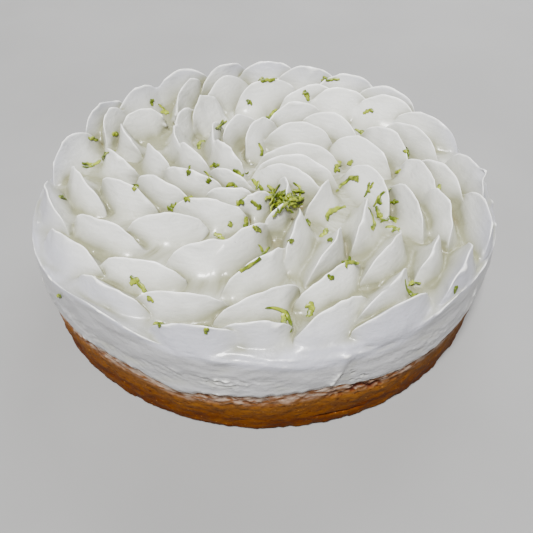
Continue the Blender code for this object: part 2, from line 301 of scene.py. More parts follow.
# %% Pits, crack and broken edges
PIT_DEPTH = 0.0011
PITTED = ((-67, 10, 1.0), (-98, 12, 0.4), (-138, 14, 0.45), (15, 18, 0.4), (115, 20, 0.5))
PITS_ROUND = 380
PITS_UP = 10
PIT_ZONE = (0.6, 0.74)
PIT_RIM = (0.36, 0.58)
CRACK_DEPTH = 0.0009
CRACK_BEARING = -73
CRACK_SPREAD = 8
CRACK_ENDS = (0.5, 1.0)
CRACK_SHARE = 0.24
CRACK_WIDTH = 0.022
CRACK_SWING = 0.015
CRACK_TURNS = 17
BREAK_DEPTH = 0.0012
BREAKS_ROUND = 330
BREAK_GAPS = 0.05
BREAKS_END = 0.14
RAGGED_DEPTH = 0.0007
RAGGED_SCALE = 420


def pitted(bearing, share):
    apart = noise.voronoi(polar(CASE_BASE_RADIUS * PITS_ROUND, bearing, share * PITS_UP))[0][0]
    zone = wave(bearing, PITTED) * ease(*PIT_ZONE, share)
    return zone * (1 - ease(*PIT_RIM, apart))


def cracked(bearing, share):
    line = CRACK_SHARE + CRACK_SWING * math.sin(CRACK_TURNS * bearing)
    along = 1 - ease(*CRACK_ENDS, abs(degrees_past(CRACK_BEARING, bearing)) / CRACK_SPREAD)
    return along * math.exp(-(((share - line) / CRACK_WIDTH) ** 2))


def broken(bearing, share):
    """Where crumbs came away, only near the foot."""
    place = polar(CASE_BASE_RADIUS * BREAKS_ROUND, bearing, 0.5)
    return max(0.0, noise.noise(place) - BREAK_GAPS) * (1 - ease(0.0, BREAKS_END, share))


def ragged_edge(bearing):
    place = polar(CASE_BASE_RADIUS, bearing, 0) * RAGGED_SCALE
    return edge_height(bearing) + RAGGED_DEPTH * noise.noise(place)


print("the pits are", in_mm((PIT_DEPTH, CRACK_DEPTH), 2), "mm deep with the crack")

# %% [markdown]
# Now the case itself. Its rings go from the foot, rounded by a small chamfer, up the wall to
# the rounded edge and in to a lid, which the meringue hides. Two values are stored at each
# point for the finish: how far up the wall it is, and whether it lies in a pit or the crack.

# %% The pastry case
WALL_ROWS = 60
WALL_END = 0.975
CASE_CHAMFER = 0.0014
EDGE_INSET = 0.0008
LID_RADIUS = 0.0972
GAP = 0.0003
CRACK_TONE = 0.8

# Shares of the chamfer's height, of its inset and of the crags
FOOT_RINGS = ((0.0, 1.0, 0.6), (0.35, 0.4, 0.8))

# Shares of the wall's height and of the edge's inset
EDGE_RINGS = ((0.993, 0.35), (1.0, 1.2))


def case_ring(share, inset=0.0, crags=1.0):
    """A ring up the wall of the pastry case, share going from 0 at its foot to 1 at its edge."""

    def point(bearing):
        height = share * ragged_edge(bearing)
        radius = CASE_BASE_RADIUS + share * (CASE_TOP_RADIUS - CASE_BASE_RADIUS) - inset
        radius += wave(bearing, BULGES) + crags * crag(bearing, height)
        radius += grain(bearing, height) + flakes(bearing, height, share)
        radius -= PIT_DEPTH * pitted(bearing, share) + CRACK_DEPTH * cracked(bearing, share)
        return polar(radius - BREAK_DEPTH * broken(bearing, share), bearing, height)

    return point


def lid_ring(lift, radius=LID_RADIUS):
    return lambda bearing: polar(radius, bearing, CASE_HEIGHT + lift)


def note(piece, name, values):
    """Stores a value for each vertex under a name that a material can read."""
    piece.data.attributes.new(name, "FLOAT", "POINT").data.foreach_set("value", values)


chamfer = CASE_CHAMFER / CASE_HEIGHT
wall = [chamfer + (WALL_END - chamfer) * row / WALL_ROWS for row in range(WALL_ROWS + 1)]
case_rings = [case_ring(up * chamfer, inset * CASE_CHAMFER, crags) for up, inset, crags in FOOT_RINGS]
case_rings += [case_ring(share) for share in wall]
case_rings += [case_ring(share, inset * EDGE_INSET) for share, inset in EDGE_RINGS]
case_rings += [lid_ring(-GAP)]
baked_case = piece_from("baked_case", drum(case_rings))


def on_wall(place):
    """Bearing, and the share up the wall: 0 at the foot of the pastry, 1 at its edge."""
    bearing = math.atan2(place.y, place.x)
    return bearing, min(1.0, place.z / edge_height(bearing))


spots = [on_wall(vert.co) for vert in baked_case.data.vertices]
note(baked_case, "up_the_wall", [share for _, share in spots])
note(baked_case, "dark", [max(pitted(*spot), CRACK_TONE * cracked(*spot)) for spot in spots])
print("pastry case:", len(baked_case.data.polygons), "faces")

# %% [markdown]
# Where the case was lifted out of its ring, a few crumbs came loose and still cling to its
# foot. Each is a coarse ball, squashed and made uneven by noise, so that a hundred of them
# cost very little.

# %% Crumbs at the foot
CRUMB_SIZES = (0.00025, 0.0007)
CRUMB_SHRINK = (0.6, 1.0)
CRUMB_REACH = (0.1, 1.6)
CRUMB_SQUASH = 0.75
CRUMB_REST = 0.8
CRUMB_UNEVEN = 0.5
CRUMB_LUMPS = 1.3
CRUMB_APART = 900
CRUMB_SEED = 5

# Each stretch's middle and spread in degrees, and its count
CRUMBS = ((-58, 4, 12), (-100, 30, 26), (-140, 14, 12), (60, 90, 44))


def crumb(draw, middle, spread, bm):
    bearing = math.radians(draw.gauss(middle, spread))
    size = draw.uniform(*CRUMB_SIZES) * draw.uniform(*CRUMB_SHRINK)
    radius = CASE_BASE_RADIUS - CASE_CHAMFER + wave(bearing, BULGES)
    centre = polar(radius + draw.uniform(*CRUMB_REACH) * size, bearing, CRUMB_REST * size)
    made = bmesh.ops.create_icosphere(bm, subdivisions=1, radius=size)
    for vert in made["verts"]:
        lump = noise.noise(vert.co * CRUMB_LUMPS / size + centre * CRUMB_APART)
        squashed = Vector((vert.co.x, vert.co.y, CRUMB_SQUASH * vert.co.z))
        vert.co = centre + squashed * (1 + CRUMB_UNEVEN * lump)
        vert.co.z = max(vert.co.z, 0.0)


crumbs_bm = bmesh.new()
crumb_draw = random.Random(CRUMB_SEED)
for middle, spread, count in CRUMBS:
    for _ in range(count):
        crumb(crumb_draw, middle, spread, crumbs_bm)
crumbs = piece_from("crumbs", crumbs_bm)
print("crumbs:", len(crumbs.data.polygons), "faces")

# %% [markdown]
# The band of meringue was spread against the side with a spatula, which left long low
# strokes, finer lines over them, torn patches, a seam where the last stroke ended, and here
# and there a burst bubble. Each mark is a rule for how far the surface stands out or in. A
# brush in sculpt mode would draw them as well, but rules can be changed one at a time.

# %% The spatula's marks
SMEAR_DEPTH = 0.0008
STROKES_ROUND = 5
STROKES_UP = 130
STROKES_FINER = 2.1
STREAK_DEPTH = 0.00042
STREAKS_ROUND = 16
STREAKS_UP = 640
STREAK_LEAST = 0.3
STREAK_SLOPE = 0.009
STREAK_TURNS = 7
STREAK_PHASE = math.radians(74)
PATCHES_UP = 70
SCRATCHED = ((-98, 8, 1.0), (-52, 10, 0.6), (-128, 7, 0.5), (40, 12, 0.8), (150, 10, 0.8))
SCRATCH_DEPTH = 0.0007
SCRATCH_SHARE = 0.6
SCRATCHES_ROUND = 300
SCRATCHES_UP = 900
SCRATCH_START = (0.028, 0.034)
SCRATCH_END = (0.042, 0.047)
BUBBLE_DEPTH = 0.0007
BUBBLES_ROUND = 230
BUBBLES_UP = 330
BUBBLE_RIM = (0.1, 0.32)

# How finely the patches lie round the band, and the noise where one begins and is full
STREAKED = (5, -0.1, 0.3)
BUBBLED = (4, 0.15, 0.45)


def patchy(bearing, height, across, low, high):
    """1 in broad patches of the band and 0 between them."""
    return ease(low, high, noise.noise(polar(across, bearing, height * PATCHES_UP)))


def smear(bearing, height):
    """Long low strokes, level round the band."""
    return SMEAR_DEPTH * rough(polar(STROKES_ROUND, bearing, height * STROKES_UP), finer=STROKES_FINER)


def streaks(bearing, height):
    """The lines that the spatula drew, leaning one way and then the other."""
    lean = STREAK_SLOPE * math.sin(STREAK_TURNS * bearing + STREAK_PHASE)
    place = polar(STREAKS_ROUND, bearing, (height + lean) * STREAKS_UP)
    strength = STREAK_LEAST + patchy(bearing, height, *STREAKED)
    return STREAK_DEPTH * strength * rough(place)


def scratches(bearing, height):
    """Rough places, where the spatula dragged the foam and tore it."""
    place = polar(BAND_RADIUS * SCRATCHES_ROUND, bearing, height * SCRATCHES_UP)
    torn = rough(place, SCRATCH_SHARE, STROKES_FINER)
    level = ease(*SCRATCH_START, height) * (1 - ease(*SCRATCH_END, height))
    return SCRATCH_DEPTH * torn * wave(bearing, SCRATCHED) * level


def bubbles(bearing, height):
    """Small burst bubbles, in some patches only."""
    apart = noise.voronoi(polar(BAND_RADIUS * BUBBLES_ROUND, bearing, height * BUBBLES_UP))[0][0]
    return -BUBBLE_DEPTH * patchy(bearing, height, *BUBBLED) * (1 - ease(*BUBBLE_RIM, apart))


print("strokes, lines and scratches:", in_mm((SMEAR_DEPTH, STREAK_DEPTH, SCRATCH_DEPTH), 2), "mm deep")

# %% [markdown]
# The seam is the one mark that stands upright, a low ridge with a step beside it. On top the
# band turns in over a soft ledge, where each stroke of the spatula left its edge as a fold,
# and from there the outer petals rise.

# %% The seam and the folds
SEAM_BEARING = -74.5
SEAM_MIDDLE = 0.038
SEAM_TILT = 220
SEAM_RIDGE = 0.0010
SEAM_WIDTH = 0.9
SEAM_STEP = 0.0005
STEP_START = (-0.8, 0.8)
STEP_END = (4, 26)
FOLD_DEPTH = 0.0010
FOLDS_ROUND = 6
FOLDS_IN = 5
FOLD_SWING = 0.8
FOLD_TURNS = 3


def seam(bearing, height):
    apart = degrees_past(SEAM_BEARING + SEAM_TILT * (height - SEAM_MIDDLE), bearing)
    step = ease(*STEP_START, apart) * (1 - ease(*STEP_END, apart))
    return SEAM_RIDGE * math.exp(-((apart / SEAM_WIDTH) ** 2)) - SEAM_STEP * step


def folds(bearing, share):
    swing = FOLD_SWING * math.sin(FOLD_TURNS * bearing)
    return FOLD_DEPTH * rough(polar(FOLDS_ROUND, bearing, share * FOLDS_IN + swing))


print("the seam stands", in_mm((SEAM_RIDGE,)), "mm high and the folds", in_mm((FOLD_DEPTH,)), "mm")

# %% [markdown]
# The band is feathered out on the pastry at its lower edge. Its lower rings therefore start
# on the pastry's own surface and swell out to the band's radius. Then they go up to the
# ridge, in over the ledge with its small lip, and along the floor that the petals stand on.

# %% The spread band
BAND_ROWS = 36
BAND_END = 0.98
FEATHER = 0.0032
FEATHER_START = -0.0005
FEATHER_WAVE = 0.0011
FEATHERS_ROUND = 26
OVERLAP = 0.0006
EDGE_THICKNESS = 0.0003
UNDERSIDE_INSET = 0.0025
LEDGE_ROWS = 12
LEDGE_RISE = 0.5
LEDGE_DOME = 0.8
LEDGE_TURN = 1.4
LIP = 0.0006
LIP_PLACE = 0.1
LIP_WIDTH = 0.09
FLOOR_RINGS = (0.098, 0.088, 0.074, 0.058, 0.040, 0.020)
FLOOR_UNEVEN = 0.0007
FLOOR_LUMPS = 60


def band_ring(share):
    """A ring up the wall of the meringue, share going from 0 at the pastry to 1 at its ridge."""

    def point(bearing):
        feathered = FEATHER_WAVE * noise.noise(polar(FEATHERS_ROUND, bearing, 0))
        low = edge_height(bearing) + GAP + feathered - OVERLAP
        height = low + share * (ridge_height(bearing) - low)
        thick = ease(FEATHER_START, FEATHER, height - low)
        wall = BAND_RADIUS + smear(bearing, height) + streaks(bearing, height)
        wall += bubbles(bearing, height) + scratches(bearing, height) + seam(bearing, height)
        thin = CASE_TOP_RADIUS + EDGE_THICKNESS
        return polar(thin + (wall - thin) * thick + wave(bearing, BULGES), bearing, height)

    return point


def ledge_ring(share):
    """A ring on the ledge, share going from 0 on the ridge to 1 where the petals' floor begins."""

    def point(bearing):
        ridge = ridge_height(bearing)
        top = max(FLOOR_HEIGHT, FLOOR_HEIGHT + LEDGE_RISE * (ridge - FLOOR_HEIGHT))
        lip = LIP * math.exp(-(((share - LIP_PLACE) / LIP_WIDTH) ** 2))
        height = ridge + (top - ridge) * share**LEDGE_DOME + lip
        radius = BAND_RADIUS + (LEDGE_RADIUS - BAND_RADIUS) * share**LEDGE_TURN
        uneven = smear(bearing, ridge) * (1 - share) + streaks(bearing, height) * (1 - share)
        uneven += folds(bearing, share) + seam(bearing, ridge) * (1 - share)
        return polar(radius + uneven + wave(bearing, BULGES), bearing, height + uneven)

    return point


def floor_ring(radius):
    def point(bearing):
        lump = noise.noise(polar(radius, bearing, 0) * FLOOR_LUMPS)
        return polar(radius, bearing, FLOOR_HEIGHT + FLOOR_UNEVEN * lump)

    return point


band_rings = [lid_ring(GAP), lid_ring(GAP, CASE_TOP_RADIUS - UNDERSIDE_INSET)]
band_rings += [band_ring(BAND_END * row / BAND_ROWS) for row in range(BAND_ROWS + 1)]
band_rings += [ledge_ring(row / LEDGE_ROWS) for row in range(LEDGE_ROWS + 1)]
band_rings += [floor_ring(radius) for radius in FLOOR_RINGS]
meringue = piece_from("piped_meringue", drum(band_rings))
print("spread band:", len(meringue.data.polygons), "faces")

# %% [markdown]
# Each petal was pressed out of a slotted nozzle: a fin with a thin crest that swells towards
# its root. Above the floor its section narrows to a rounded crest, and below it is a full
# root. A rule gives that section, so it stays the same petal at every size, and noise adds
# the ripples and flutes that the nozzle's edge left.

# %% The section of a petal
RISE = 0.0160
INNER_ROOT = 0.0086
OUTER_ROOT = 0.0062
ROOT_DEPTH = 0.0065
ROOT_FULLNESS = 0.5
CREST_HALF = 0.0006
CREST_SQUARENESS = 6
FLARE = 1.35
ARCH_POWER = 0.54
RIPPLE = 0.00035
RIPPLES_ALONG = 2.2
RIPPLES_UP = 300
FLUTE_DEPTH = 0.0011
FLUTES_ALONG = 4.2
FLUTES_UP = 45
FLUTE_FADE = 3
CREST_WAVER = 0.05
WAVERS_ALONG = 2.6


def section(side, up, arch, root, rise, lean):
    """Where a point of the section lies, sideways and up, given its direction from the middle."""
    if up <= 0:
        return root * math.copysign(abs(side) ** ROOT_FULLNESS, side) * arch, ROOT_DEPTH * up * arch
    half = CREST_HALF * (1 - up**CREST_SQUARENESS) ** 0.5 + (root - CREST_HALF) * (1 - up) ** FLARE
    return math.copysign(half, side) * arch + lean * up * arch, rise * arch * up


def fluted(number, along, height, arch):
    """How far the nozzle's edge pushed a point sideways, fading towards the petal's ends."""
    ripple = Vector((along * RIPPLES_ALONG, height * RIPPLES_UP, number))
    flute = Vector((along * FLUTES_ALONG, height * FLUTES_UP, number + 0.5))
    sway = RIPPLE * noise.noise(ripple) + FLUTE_DEPTH * noise.noise(flute)
    return sway * min(1.0, FLUTE_FADE * arch)


print("crest and root are", in_mm((2 * CREST_HALF, INNER_ROOT + OUTER_ROOT)), "mm thick")

# %% [markdown]
# A petal is a ball whose poles become the two ends of its crest, so its ends are closed and
# round without more work. Every ring between the poles takes the section's shape, arched
# along the crest and bowed in plan. A seeded draw makes each petal a little higher, lower or
# more tilted than the next.

# %% One petal
PETAL_SIDES = 34
PETAL_STEPS = 28
FULL_CHORD = 0.037
LEAST_ROOT = 0.35
ROOT_SINK = 0.0006
BOW = 0.0036
BELLY = -0.0006
LEAN = 0.12
UNEVENNESS = 0.05
POLE_WELD = 0.00001
TINY = 0.0001

# Where the crests stand higher, and where those at the rim stand lower
RISES = ((108, 50, 0.0028),)
RIM_DROPS = ((-135, 38, -0.0060), (-68, 34, -0.0052))
RIM_ONLY = 5


def inside_rim(point):
    """Draws in what would stand out past the band, but for a slight belly."""
    bearing = math.atan2(point.y, point.x)
    limit = BAND_RADIUS + BELLY + wave(bearing, BULGES)
    radius = math.hypot(point.x, point.y)
    return point if radius < limit else polar(limit, bearing, point.z)


def petal(number, chord, crest, collection):
    degrees, millimetres, turn = crest
    bearing, reach = math.radians(degrees), millimetres / 1000
    draw = random.Random(number)
    rise = RISE * draw.uniform(1 - UNEVENNESS, 1 + UNEVENNESS)
    outwards = reach / CASE_TOP_RADIUS
    rise += wave(bearing, RISES) * outwards + wave(bearing, RIM_DROPS) * outwards**RIM_ONLY
    lean = LEAN * RISE * draw.uniform(-1, 1)
    size = min(1.0, LEAST_ROOT + (1 - LEAST_ROOT) * chord / FULL_CHORD)
    bm = bmesh.new()
    bmesh.ops.create_uvsphere(bm, u_segments=PETAL_SIDES, v_segments=PETAL_STEPS, radius=1)
    place = Matrix.Translation(polar(reach, bearing, FLOOR_HEIGHT))
    place = place @ Matrix.Rotation(math.radians(degrees + turn - 90), 4, "Z")
    for vert in bm.verts:
        along = vert.co.z
        girth = max(math.hypot(vert.co.x, vert.co.y), TINY)
        side, up = vert.co.x / girth, vert.co.y / girth
        arch = max(0.0, 1 - along * along) ** ARCH_POWER
        root = size * (OUTER_ROOT if side > 0 else INNER_ROOT)
        out, height = section(side, up, arch, root, rise, lean)
        out += fluted(number, along, height, arch)
        height *= 1 + CREST_WAVER * noise.noise(Vector((along * WAVERS_ALONG, number, 0.5)))
        point = place @ Vector((chord / 2 * along, out - BOW * along**2, height - ROOT_SINK))
        vert.co = inside_rim(point)
    bmesh.ops.remove_doubles(bm, verts=bm.verts, dist=POLE_WELD)
    return piece_from(f"petal_{number}", bm, collection)


print("a petal starts as a ball of", PETAL_SIDES * PETAL_STEPS, "faces")

# %% [markdown]
# The petals stand in rows that wind inwards. Each row has its own size of petal, and each
# petal its bearing, its reach from the middle in millimetres, and how far it is turned from
# facing straight outwards. An array could repeat one petal, but no two rows here wind alike.
# The order is the order of piping, from the rim inwards.

# %% The rosette
ROWS = (
    (
        0.041,
        ((-60, 103, 3), (-38, 104, 11)),
        ((-18, 101, 24), (1, 100, 13), (29, 99, 24), (47, 100, 13), (62, 99, 20)),
        ((76, 103, 8), (89, 103, 2), (104, 102, 26), (118, 103, 0), (135, 101, 5)),
        ((148, 103, 4), (167, 101, -12), (191, 101, 12), (212, 100, 16), (231, 101, 4)),
    ),
    (
        0.040,
        ((-112, 91, 17), (-91, 85, 29), (-58, 93, 19), (-19, 85, 27)),
        ((-1, 85, 30), (24, 84, 19), (43, 91, 22), (60, 83, 24), (71, 80, 26)),
        ((90, 83, 20), (106, 86, 30), (120, 91, 36), (185, 88, 29), (210, 83, 32)),
        ((232, 85, 24), (-69, 79, 20), (-47, 77, 14), (-2, 76, 20), (25, 70, 9)),
    ),
    (
        0.0385,
        ((-105, 103, 8), (-73, 97, 18)),
        ((-112, 62, 29), (-91, 66, 42), (-63, 61, 38), (-38, 57, 24), (-18, 71, 36)),
        ((53, 58, 8), (76, 59, 40), (25, 55, 26), (193, 68, 43), (221, 58, 50)),
        ((66, 42, 24), (227, 38, 34), (195, 51, 41), (186, 36, 58), (-99, 52, 55)),
        ((-7, 51, 35), (-71, 46, 58)),
    ),
    (
        0.030,
        ((-92, 98, 5), (-39, 91, 12)),
        ((149, 96, 16), (143, 84, -20), (155, 79, 52), (172, 74, 56), (119, 71, 32)),
        ((133, 66, 20), (166, 57, 50), (146, 55, 40), (159, 41, 62), (128, 44, 45)),
        ((109, 45, 27), (95, 38, 45), (143, 27, 75), (233, 26, 30), (193, 18, 44)),
        ((-31, 31, 5),),
    ),
    (0.044, ((48, 25, 41), (22, 16, 58), (-11, 14, 66)),),
    (0.020, ((-102, 21, 32), (-78, 34, 37), (-48, 17, 60)),),
)

piping = bpy.data.collections.new("piping")
bpy.context.scene.collection.children.link(piping)
petal_count = 0
for chord, *groups in ROWS:
    for crest in (crest for group in groups for crest in group):
        petal(petal_count, chord, crest, piping)
        petal_count += 1
print(petal_count, "petals piped")

# %% [markdown]
# Meringue that touches meringue sinks together, so the petals and the band are joined into
# one skin with a Boolean union. The faces inside are gone after it, which also matters for
# the light that travels under the surface. Then the hollows where two petals meet are
# smoothed a few times, as soft foam would settle, while the crests stay crisp.

# %% Joining and softening
SOFTENINGS = 7
SOFT_FROM = FLOOR_HEIGHT - 0.012
CREASE_ANGLE = math.radians(14)
HAIRLINE = 0.00012


def joined(body, pieces):
    """Unites the body with all the pieces of a collection, which are then removed."""
    union = body.modifiers.new("joined", "BOOLEAN")
    union.operation = "UNION"
    union.solver = "MANIFOLD"
    union.operand_type = "COLLECTION"
    union.collection = pieces
    bpy.context.view_layer.update()
    graph = bpy.context.evaluated_depsgraph_get()
    body.data = bpy.data.meshes.new_from_object(body.evaluated_get(graph))
    body.modifiers.clear()
    for piece in list(pieces.objects):
        bpy.data.objects.remove(piece)
    bpy.data.collections.remove(pieces)


def soften_hollows(piece):
    bm = bmesh.new()
    bm.from_mesh(piece.data)
    bmesh.ops.triangulate(bm, faces=bm.faces)
    bmesh.ops.remove_doubles(bm, verts=bm.verts, dist=HAIRLINE)
    near = set()
    for edge in bm.edges:
        if len(edge.link_faces) == 2 and not edge.is_convex:
            if edge.calc_face_angle() > CREASE_ANGLE:
                near.update(edge.verts)
    for _ in range(2):
        near.update([edge.other_vert(vert) for vert in list(near) for edge in vert.link_edges])
    soft = [vert for vert in near if vert.co.z > SOFT_FROM]
    for _ in range(SOFTENINGS):
        bmesh.ops.smooth_vert(
            bm, verts=soft, factor=0.5, use_axis_x=True, use_axis_y=True, use_axis_z=True
        )
    face_outwards(bm)
    bm.to_mesh(piece.data)
    bm.free()
    return len(soft)


joined(meringue, piping)
print(soften_hollows(meringue), "of", len(meringue.data.vertices), "points softened")

# %% [markdown]
# A piped rosette has accidents too. At the far left the nozzle tore the foam, and at the
# right it drew out small tips as it was pulled away. Both are made after the union, by moving
# the points within a small ball, and the move fades out towards the ball's skin.

# %% Torn places and pulled tips
TORN_SCALES = (420, 1000)
TORN_SHARE = 0.7
TORN_FADE = (0.5, 1)

# Bearing, reach, height and size of each, then how deep it is torn
TORN_PLACES = ((132, 77, 55, 9, 1.6), (137, 62, 55, 6, 1.0))

# Bearing, reach, height and size of each, then how far its tip is pulled out and up
PULLED_TIPS = (
    (-3, 102, 63.5, 4.0, 3.6, 0.6),
    (-4, 109, 48.5, 6.0, 1.8, 0.2),
    (-13, 109, 48, 5.0, 1.4, 0.4),
    (4, 109, 48, 5.0, 1.2, -0.3),
)


def ball_about(piece, degrees, reach, height, size):
    """The points within a ball, given in millimetres, each with its share of the way out."""
    middle = polar(reach / 1000, math.radians(degrees), height / 1000)
    for vert in piece.data.vertices:
        away = (vert.co - middle).length * 1000 / size
        if away < 1:
            yield vert, away


for *ball, depth in TORN_PLACES:
    for vert, away in ball_about(meringue, *ball):
        torn = noise.noise(vert.co * TORN_SCALES[0]) + TORN_SHARE * noise.noise(vert.co * TORN_SCALES[1])
        vert.co += vert.normal * depth / 1000 * torn * (1 - ease(*TORN_FADE, away))
for *ball, out, up in PULLED_TIPS:
    pull = polar(out / 1000, math.radians(ball[0]), up / 1000)
    for vert, away in ball_about(meringue, *ball):
        vert.co += pull * (1 - away) ** 2
meringue.data.shade_smooth()
print("meringue:", len(meringue.data.polygons), "faces")

# %% [markdown]
# Two stored values say where light and shade are painted into the foam's colour. One is how
# far a point sits down between the petals, where little of the sky is seen, and there shade is
# painted. The other is whether it is on a crest, which is thin enough for light to pass
# through, and there a highlight is painted. The first is found by casting rays upwards from
# each point, the second from how far its neighbours lie below it. An Ambient Occlusion node
# could find the first at every render, but a value stored on the mesh is worked out once.

# %% Hollows and crests
SKY_REACH = 0.020
SKY_CLEARANCE = 0.0003
SKY_TURNS = 6
SKY_TILTS = (0.35, 0.85)
FACING = 0.1
HOLLOW_ROUNDS = 3
CREST_ROUNDS = 1
CREST_RANGE = (0.05, 0.16)

sky = [Vector((0, 0, 1))]
for number, tilt in enumerate(SKY_TILTS):
    for turn in range(SKY_TURNS):
        angle = 2 * math.pi * (turn + number / 2) / SKY_TURNS
        sky.append(polar(math.cos(tilt), angle, math.sin(tilt)))


def hidden_sky(piece):
    """For each point, the share of the rays towards the sky that meet the meringue."""
    skin = BVHTree.FromObject(piece, bpy.context.evaluated_depsgraph_get())
    shares = []
    for vert in piece.data.vertices:
        start = vert.co + vert.normal * SKY_CLEARANCE
        rays = [ray for ray in sky if ray.dot(vert.normal) > FACING]
        met = [skin.ray_cast(start, ray, SKY_REACH)[0] for ray in rays]
        blocked = len(met) - met.count(None)
        shares.append(blocked / max(1, len(rays)))
    return shares


def evened(piece, values, rounds):
    """The values, each drawn towards its neighbours' a few times."""
    for _ in range(rounds):
        totals = list(values)
        counts = [1] * len(values)
        for edge in piece.data.edges:
            first, second = edge.vertices
            totals[first] += values[second]
            totals[second] += values[first]
            counts[first] += 1
            counts[second] += 1
        values = [total / count for total, count in zip(totals, counts)]
    return values


def sharpness(piece):
    """For each point, how far its neighbours lie below it: over 0 on a crest."""
    totals = [0.0] * len(piece.data.vertices)
    counts = [0] * len(totals)
    points = piece.data.vertices
    for edge in piece.data.edges:
        first, second = edge.vertices
        run = (points[first].co - points[second].co).normalized()
        totals[first] += run.dot(points[first].normal)
        totals[second] -= run.dot(points[second].normal)
        counts[first] += 1
        counts[second] += 1
    return [total / max(1, count) for total, count in zip(totals, counts)]


hollows = evened(meringue, hidden_sky(meringue), HOLLOW_ROUNDS)
crests = evened(meringue, sharpness(meringue), CREST_ROUNDS)
# This value masks the painted shade in the hollows
note(meringue, "painted_shade_mask", hollows)
# This value masks the painted highlight on the crests
note(meringue, "crest", [ease(*CREST_RANGE, value) for value in crests])
print("hollows up to", round(max(hollows), 2), "and crests up to", round(max(crests), 2))

# %% [markdown]
# The outsides of the rim petals lean away from the light, so they are given painted shade, a
# little cool. The band was worked with a spatula, and it is given a greyer tone that is partly
# its own and partly painted shade. Where they lie is stored on the mesh as well, with soft
# borders.

# %% The band and the rim
SPREAD_EDGE = (0.1045, 0.1065)
SPREAD_FADE = 0.004
RIM_EDGE = (0.092, 0.107)


def spread_smooth(place):
    """1 on the band that was spread with the spatula, 0 on the ledge and the petals."""
    ridge = ridge_height(math.atan2(place.y, place.x))
    outside = ease(*SPREAD_EDGE, math.hypot(place.x, place.y))
    return outside * (1 - ease(ridge - SPREAD_FADE, ridge, place.z))


def on_rim(place):
    """1 on the outside of the rim petals, 0 further in."""
    return ease(*RIM_EDGE, math.hypot(place.x, place.y))


points = [vert.co for vert in meringue.data.vertices]
note(meringue, "spread", [spread_smooth(place) for place in points])
note(meringue, "rim", [on_rim(place) for place in points])
print(sum(on_rim(place) > 0 for place in points), "of", len(points), "points are on the rim")

# %% [markdown]
# The zest was grated over the finished tart, so every shred lies on whatever is under it.
# Each is written as its two ends in the camera's picture, with a bend. Scattering by chance
# would be quicker, but the shreds would lie elsewhere. Only the heap in the middle and the
# offcuts, short bits that the grater tore off each shred, are drawn by chance, with a seed.

# %% Where the shreds lie
SHREDS = (
    ((130, 276), (147, 295), 0.08),
    ((147, 296), (154, 302), 0.0),
    ((154, 323), (166, 327), 0.1),
    ((206, 325), (206, 334), 0.0),
    ((57, 296), (64, 295), 0.0),
    ((168, 210), (179, 204), 0.1),
    ((184, 200), (193, 197), 0.0),
    ((214, 233), (225, 240), 0.0),
    ((230, 221), (230, 227), 0.0),
    ((247, 217), (236, 234), 0.2),
    ((252, 227), (261, 232), 0.1),
    ((270, 247), (235, 274), 0.06),
    ((265, 308), (291, 332), 0.3),
    ((341, 262), (359, 263), 0.0),
    ((327, 275), (333, 279), 0.0),
    ((311, 301), (308, 317), 0.1),
    ((405, 279), (429, 294), -0.35),
    ((455, 286), (455, 293), 0.0),
    ((328, 239), (337, 243), 0.0),
    ((320, 237), (328, 230), 0.0),
    ((306, 219), (309, 225), 0.0),
    ((287, 242), (294, 240), 0.0),
    ((325, 217), (346, 207), 0.1),
    ((151, 99), (152, 106), 0.0),
    ((158, 104), (166, 115), 0.1),
    ((88, 138), (98, 140), 0.0),
    ((112, 135), (118, 133), 0.0),
    ((82, 167), (101, 160), -0.1),
    ((102, 158), (116, 150), 0.1),
    ((58, 197), (66, 199), 0.0),
    ((130, 186), (143, 191), 0.2),
    ((190, 165), (188, 176), 0.0),
    ((210, 166), (220, 165), 0.0),
    ((197, 148), (207, 142), 0.3),
    ((210, 133), (227, 121), 0.0),
    ((258, 143), (262, 156), 0.1),
    ((246, 100), (252, 105), 0.1),
    ((258, 81), (277, 79), 0.0),
    ((276, 109), (268, 120), 0.0),
    ((234, 172), (249, 172), -0.2),
    ((251, 178), (264, 192), 0.0),
    ((204, 171), (212, 184), 0.1),
    ((226, 187), (238, 188), 0.3),
    ((237, 207), (246, 197), 0.1),
    ((251, 200), (261, 209), 0.0),
    ((321, 80), (340, 79), 0.0),
    ((304, 90), (309, 101), 0.0),
    ((363, 114), (373, 110), 0.1),
    ((355, 129), (363, 134), 0.0),
    ((405, 147), (407, 159), 0.2),
    ((397, 174), (401, 169), 0.0),
    ((438, 191), (440, 184), 0.0),
    ((335, 173), (341, 161), 0.1),
    ((349, 165), (353, 160), 0.0),
    ((336, 192), (359, 176), 0.1),
    ((364, 197), (374, 182), 0.0),
    ((368, 207), (373, 231), 0.1),
    ((374, 207), (391, 188), 0.1),
    ((376, 206), (383, 222), 0.0),
    ((388, 203), (399, 201), 0.0),
    ((380, 223), (399, 219), 0.1),
    ((385, 228), (399, 231), 0.2),
)
SHRED_WIDTH = 0.0021

# The heap and its shreds, with places and lengths in pixels
HEAP_MIDDLE = (285, 199)
HEAP_SPREAD = (15, 12)
HEAP_COUNT = 46
HEAP_LENGTHS = (8, 18)
HEAP_CURL = 0.4
HEAP_LIFT = 0.0018
HEAP_WIDTH = 0.0015
HEAP_SEED = 14

# The offcuts, with lengths as shares of the shred's and the least in pixels
OFFCUT_LENGTHS = (0.35, 0.65)
OFFCUT_LEAST = 5.0
OFFCUT_ANGLES = (0.5, 1.3)
OFFCUT_PLACES = (0.15, 0.85)
OFFCUT_BEND = 0.1
OFFCUT_LIFT = 0.0003
OFFCUT_SEED = 8


def ends_about(across, down, half, angle):
    """The two ends of a straight shred, given its middle, half its length and its angle."""
    tip = (half * math.cos(angle), half * math.sin(angle))
    return (across - tip[0], down - tip[1]), (across + tip[0], down + tip[1])


